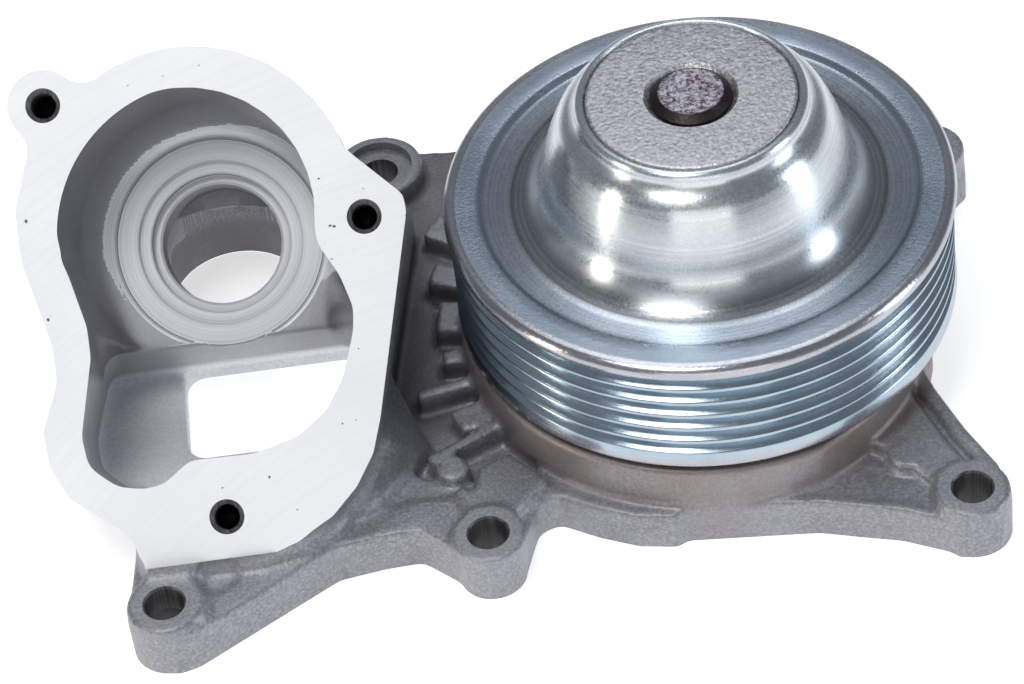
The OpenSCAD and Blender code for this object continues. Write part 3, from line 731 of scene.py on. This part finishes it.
def paint_casting(made, materials):
    """Gives each face its material by where it lies."""
    mesh = made.data
    mesh.materials.clear()
    for material in materials:
        mesh.materials.append(material)
    n = len(mesh.polygons)
    centre, normal = np.empty(n * 3), np.empty(n * 3)
    mesh.polygons.foreach_get("center", centre)
    mesh.polygons.foreach_get("normal", normal)
    centre, normal = centre.reshape(-1, 3) / MM, normal.reshape(-1, 3)
    axis = np.array(NECK_AXIS)
    from_top = centre - np.array(NECK_TOP)
    depth = from_top @ axis
    across = np.linalg.norm(np.cross(from_top, axis), axis=1)
    out = normal @ axis
    toward = np.abs(out)
    index = np.full(n, CAST)

    # inside of the neck: faces of the round part look at its middle, outer ones away from it
    turn = np.array(NECK.to_3x3())
    x, y = (from_top @ turn)[:, 0], (from_top @ turn)[:, 1]
    from_middle = np.stack((x, y), 1) - np.array(CHAMBER_MIDDLE)
    reach = np.hypot(from_middle[:, 0], from_middle[:, 1])
    inward = ((normal @ turn)[:, :2] * from_middle).sum(1) < 0
    inward |= (out > 0.5) & (depth < -5)
    inside = (y < 0) | (reach < 27.5) | (inward & (reach < 33))
    inside &= (x > -33) & (x < 27) & (y > -49) & (depth < -0.1) & (depth > -62)
    inside &= ~((x > 20) & (y < -38)) & (centre[:, 1] < 48) & (centre[:, 2] > 0.05)
    # faces inside the neck take the material with painted shade and painted light
    index[inside] = NECK_PAINTED_SHADE

    # machined faces of the flange and the engine side
    index[(np.abs(depth) < 0.05) & (out > 0.99)] = MILLED
    index[(centre[:, 2] < 0.05) & (normal[:, 2] < -0.99)] = MILLED

    # seat: its flats and the band are turned bright, its step walls and the bypass bore are not
    steps = (across < SEAT_R + 0.1) & (depth < -SEAT_DEPTH - 0.2) & (depth > -SEAT_STEPS_END)
    wall = (across < BYPASS_R + 0.1) & (toward < 0.2)
    fillet = np.hypot(across - BAND_R + BAND_FILLET, depth - BAND_Z) - BAND_FILLET
    band = (np.abs(fillet) < 0.15) & (toward < 0.99) & (across > SEAT_R) & (depth < BAND_Z)
    index[wall | (steps & (toward < 0.6))] = CAST
    index[(steps & (toward > 0.6)) | band] = TURNED

    # bolt holes, threads, register and the bores above it, in the near-black material of painted
    # shade
    side = np.abs(normal[:, 2]) < 0.9
    for p in BOLT_HOLES:
        near = np.hypot(centre[:, 0] - p.x, centre[:, 1] - p.y)
        index[(near < BOLT_HOLE_R + 1.3) & (centre[:, 2] < BOSS_TOP + 0.3) & side] = DRILLED
    in_thread = (depth < -0.02) & (depth > -17) & (toward < 0.95)
    for p in COVER_THREADS:
        near = np.linalg.norm(np.cross(centre - np.array(p), axis), axis=1)
        index[(near < COVER_THREAD_R + 1.5) & in_thread] = DRILLED
    near = np.hypot(centre[:, 0], centre[:, 1])
    register = (near < REGISTER_R + 0.1) & (near > 35) & (centre[:, 2] < REGISTER_DEPTH + 0.1)
    index[register | ((near < 18.2) & (centre[:, 2] < 60.5))] = DRILLED
    mesh.polygons.foreach_set("material_index", index)


SHARE_OF_FACES_KEPT = 0.45


def build_housing(materials):
    made = cast_solid("pump_housing")
    thin = made.modifiers.new("thin", "DECIMATE")
    thin.ratio = SHARE_OF_FACES_KEPT
    graph = bpy.context.evaluated_depsgraph_get()
    mesh = bpy.data.meshes.new_from_object(made.evaluated_get(graph))
    made.modifiers.clear()
    made.data = mesh
    machine(made)
    paint_casting(made, materials)
    shade(made, 30)
    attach(made, "housing")
    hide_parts("pump_housing")
    return made


# ---------- pulley, hub and shaft ----------

SHEET = 2.2
HUB_R = 20.5
HUB_BASE_Z, HUB_BORE_R = 62, 13.2
HUB_SEAT_Z = HUB_Z - 3.4
SKIRT_INNER_R = 45.3
GROOVE_PITCH, GROOVE_DEPTH, GROOVES = 3.56, 2.7, 6
LAND, BEAD, GROOVE, BELL = range(4)


def bell_profile(inner):
    """Radius and height down the bell: shoulder, flank and the fillet at its foot."""
    inset = SHEET if inner else 0
    steep, gentle = math.radians(27), math.radians(9)
    shoulder = Vector((21.2, RIM_Z + 15.2))
    flank = shoulder - 32 * Vector((math.cos(steep), math.sin(steep)))
    foot = flank + 47 * Vector((math.cos(gentle), math.sin(gentle)))
    return (
        arc(shoulder, 6 - inset, 60, 27, 8)
        + arc(flank, 38 - inset, 25, 9, 10)
        + arc(foot, 9 + inset, 192, 270, 24)
    )


def groove_profile():
    """Ribs with rounded crests, from the top one down."""
    crest_r = PULLEY_R - 0.7
    root_r = crest_r - GROOVE_DEPTH
    first = RIM_Z - 6.2 + GROOVE_PITCH
    rib = [
        (crest_r - 0.12, 0.18), (crest_r, 0.38), (crest_r - 0.15, 0.55),
        (root_r + 0.15, GROOVE_PITCH / 2 - 0.5), (root_r, GROOVE_PITCH / 2 - 0.3),
    ]
    whole = rib + [(r, GROOVE_PITCH - z) for r, z in reversed(rib)]
    return [(r, first - i * GROOVE_PITCH - z) for i in range(GROOVES) for r, z in whole]


def build_pulley(materials):
    """The pressed pulley as one turned sheet."""
    profile, zones = [], []

    def stretch(zone, points):
        profile.extend(points)
        zones.extend([zone] * len(points))

    # up out of the hub seat, over the fold and down the bell
    stretch(BELL, [(HUB_R, HUB_SEAT_Z), (HUB_R, HUB_Z - 0.9)])
    stretch(BELL, arc((HUB_R + 0.9, HUB_Z - 1.3), 1.3, 110, 0, 10))
    stretch(BELL, [(HUB_R + 2.2, HUB_Z - 2), (HUB_R + 2.6, HUB_Z - 2.9)])
    stretch(BELL, bell_profile(False))
    # dish, raised edge, land, rolled bead and grooves
    stretch(BELL, [(41.6, RIM_Z - 1), (42.2, RIM_Z - 1), (42.7, RIM_Z - 0.85)])
    stretch(BELL, [(43.1, RIM_Z - 0.4), (43.4, RIM_Z - 0.1)])
    stretch(LAND, [(43.8, RIM_Z), (46, RIM_Z)])
    stretch(BEAD, [(48, RIM_Z)] + arc((48.6, RIM_Z - 1.8), PULLEY_R - 48.6, 80, -40, 14))
    stretch(GROOVE, groove_profile())
    # skirt edge, and back up the inside
    edge_r = PULLEY_R - 0.4
    stretch(BEAD, [(edge_r, SKIRT_Z + 2), (edge_r, SKIRT_Z + 0.5)])
    stretch(BEAD, [(edge_r - 0.15, SKIRT_Z + 0.15), (edge_r - 0.5, SKIRT_Z)])
    stretch(BEAD, [(SKIRT_INNER_R + 0.7, SKIRT_Z)])
    stretch(BEAD, [(SKIRT_INNER_R + 0.2, SKIRT_Z + 0.2), (SKIRT_INNER_R, SKIRT_Z + 0.7)])
    stretch(LAND, [(SKIRT_INNER_R, RIM_Z - 3.4), (44.9, RIM_Z - 2.8), (44.3, RIM_Z - 2.6)])
    stretch(BELL, list(reversed(bell_profile(True))))
    stretch(BELL, [(HUB_R - 0.4, HUB_Z - 6), (HUB_BORE_R, HUB_Z - 6), (HUB_BORE_R, HUB_SEAT_Z)])
    made = lathe("pulley_sheet", profile, None, 256, zones, materials)
    shade(made, 40)
    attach(made, "rotor")
    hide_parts("pulley")
    return made


def build_hub(material):
    r = SHAFT_R
    profile = [(r, HUB_BASE_Z), (HUB_BORE_R - 0.8, HUB_BASE_Z), (HUB_BORE_R, HUB_BASE_Z + 0.8)]
    profile += [(HUB_BORE_R, HUB_SEAT_Z), (HUB_R, HUB_SEAT_Z), (HUB_R, HUB_Z - 0.8)]
    profile += arc((HUB_R - 0.7, HUB_Z - 0.7), 0.7, 0, 90, 6)
    profile += [(r + 1.2, HUB_Z), (r + 1.05, HUB_Z - 0.15), (r, HUB_Z - 1.2)]
    made = lathe("pulley_hub_disc", profile, None, 192, None, [material])
    shade(made, 35)
    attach(made, "rotor")
    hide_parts("pulley_hub")
    return made


# ---------- studio ----------


def soft_box(name, place, target, width, height, power, color=(1, 1, 1)):
    light = bpy.data.lights.new(name, "AREA")
    light.shape = "RECTANGLE"
    light.size, light.size_y = width, height
    light.energy = power
    light.color = color
    made = bpy.data.objects.new(name, light)
    made.location = place
    aim = Vector(target) - Vector(place)
    made.rotation_euler = aim.to_track_quat("-Z", "Y").to_euler()
    bpy.context.scene.collection.objects.link(made)
    return made


def studio_floor():
    g = Graph("studio_floor")
    cloud = g.noise(0.4, 2.0)
    color = g.blend(g.between(cloud, 0.3, 0.7), rgb(0.86, 0.86, 0.87), rgb(0.88, 0.88, 0.89))
    material = g.finish(color, g.between(cloud, 0.3, 0.7, 0.8, 0.9), metallic=0.0)
    g.shader.inputs["Emission Color"].default_value = rgb(1, 1, 1)
    g.shader.inputs["Emission Strength"].default_value = 0.6
    half = 3000
    corners = [(-half, -half, 0), (half, -half, 0), (half, half, 0), (-half, half, 0)]
    floor = mesh_object("studio_floor", corners, [(0, 1, 2, 3)], [material])
    floor.location.z = cad_box[0].z - 0.0001


def studio_camera():
    """The camera stands in front of the pump and looks down at it, rolled a little."""
    elevation, roll, distance = 0.799, -0.132, 0.7776
    target = Vector((-0.04019, -0.03586, 0.0475))
    back = Vector((0, -math.cos(elevation), math.sin(elevation)))
    right = Vector((1, 0, 0))
    up = back.cross(right)
    rolled_right = right * math.cos(roll) + up * math.sin(roll)
    rolled_up = up * math.cos(roll) - right * math.sin(roll)
    camera = bpy.data.cameras.new("camera")
    camera.lens = 144.18
    camera.sensor_width = 36
    camera.clip_start = 0.01
    made = bpy.data.objects.new("camera", camera)
    made.matrix_world = Matrix.Translation(target + back * distance) @ (
        Matrix((rolled_right, rolled_up, back)).transposed().to_4x4()
    )
    bpy.context.scene.collection.objects.link(made)
    bpy.context.scene.camera = made


def studio_light():
    world = bpy.data.worlds.new("studio")
    world.use_nodes = True
    sky = world.node_tree.nodes["Background"]
    sky.inputs["Color"].default_value = rgb(0.78, 0.83, 0.92)
    sky.inputs["Strength"].default_value = 0.27
    bpy.context.scene.world = world
    middle = (-0.03, 0, 0.04)
    soft_box("top", (-0.3, -0.35, 1.35), middle, 0.45, 0.45, 7.0, (1.0, 0.99, 0.98))
    soft_box("back", (0.0, 0.75, 1.45), middle, 0.7, 0.4, 3.4, (0.93, 0.96, 1.0))
    soft_box("front", (-0.1, -1.6, 0.36), middle, 1.3, 0.4, 3.2, (1.0, 0.99, 0.97))
    soft_box("left", (-1.18, -0.42, 0.25), middle, 0.14, 0.6, 4.0, (1.0, 0.93, 0.82))
    soft_box("right", (1.1, -0.3, 0.4), middle, 0.3, 0.7, 3.8, (0.86, 0.94, 1.0))
    bpy.context.scene.view_settings.view_transform = "Standard"


# ---------- put together ----------

shaft_axis = Vector((0, 0, 1))
build_housing([
    cast_aluminium(),
    milled_aluminium(),
    turned_aluminium(
        "turned_seat", NECK_TOP, NECK_AXIS, rgb(0.80, 0.81, 0.84), rgb(0.92, 0.93, 0.95)
    ),
    # near-black colours: painted shade in the drilled holes, threads, register and bores
    turned_aluminium(
        "drilled_aluminium_painted_shade", Vector(), shaft_axis, rgb(0.05, 0.045, 0.05), rgb(0.12, 0.115, 0.12)
    ),
    neck_aluminium_painted_light_and_shade(),
])
zinc_land = zinc_plate(
    "zinc_land", rgb(0.34, 0.38, 0.42), rgb(0.62, 0.67, 0.72), (0.26, 0.4), 0.0001, 0.00001, 0.4
)
zinc_bead = zinc_plate(
    "zinc_bead", rgb(0.68, 0.60, 0.56), rgb(0.92, 0.84, 0.78), (0.2, 0.32), 0.00006, 0.00002
)
zinc_groove = zinc_plate(
    "zinc_groove", rgb(0.50, 0.62, 0.66), rgb(0.78, 0.88, 0.92), (0.16, 0.26), 0.00001, 0.00002
)
zinc_bell = zinc_plate(
    "zinc_bell", rgb(0.52, 0.56, 0.59), rgb(0.70, 0.74, 0.76), (0.22, 0.35), 0.00003, 0.00004
)
build_pulley([zinc_land, zinc_bead, zinc_groove, zinc_bell])
build_hub(blasted_steel())

steel = plain_metal("bearing_steel", rgb(0.5, 0.5, 0.52), rgb(0.62, 0.62, 0.64), (0.15, 0.3))
brass = plain_metal("cage_brass", rgb(0.62, 0.46, 0.22), rgb(0.75, 0.60, 0.33), (0.25, 0.4))
spring = plain_metal("spring_steel", rgb(0.42, 0.42, 0.44), rgb(0.58, 0.58, 0.6), (0.25, 0.4))
# near-black sleeves: painted shade inside the bolt holes
sleeve = plain_metal("dowel_steel", rgb(0.06, 0.06, 0.065), rgb(0.11, 0.11, 0.115), (0.4, 0.6))
rubber = moulded(
    "black_rubber", rgb(0.02, 0.02, 0.022), rgb(0.045, 0.045, 0.048), (0.5, 0.7), 0.0006, 0.00005
)
carbon = moulded(
    "carbon", rgb(0.05, 0.05, 0.055), rgb(0.09, 0.09, 0.095), (0.35, 0.5), 0.0004, 0.00002
)
ceramic = moulded(
    "ceramic", rgb(0.14, 0.14, 0.16), rgb(0.2, 0.2, 0.22), (0.15, 0.25), 0.0003, 0.00001
)
plastic = moulded(
    "moulded_plastic", rgb(0.04, 0.04, 0.045), rgb(0.075, 0.075, 0.08), (0.4, 0.55),
    0.0005, 0.00004,
)
nodes_of_material = [
    (shaft_steel(), ["pump_shaft"]),
    (steel, ["bearing_outer_ring", "upper_bearing_balls", "lower_bearing_balls", "impeller_bush"]),
    (brass, ["upper_ball_cage", "lower_ball_cage", "seal_cup"]),
    (spring, ["seal_spring"]),
    (sleeve, ["dowel_sleeves"]),
    (rubber, ["upper_bearing_shield", "lower_bearing_shield", "seal_bellows"]),
    (rubber, ["mating_ring_sleeve", "volute_o_ring", "port_seal"]),
    (carbon, ["carbon_ring"]),
    (ceramic, ["mating_ring"]),
    (plastic, ["impeller", "weep_hole_cap"]),
]
for material, nodes in nodes_of_material:
    for node in nodes:
        mesh = frame["nodes"][node].data
        mesh.materials.clear()
        mesh.materials.append(material)

studio_floor()
studio_light()
studio_camera()
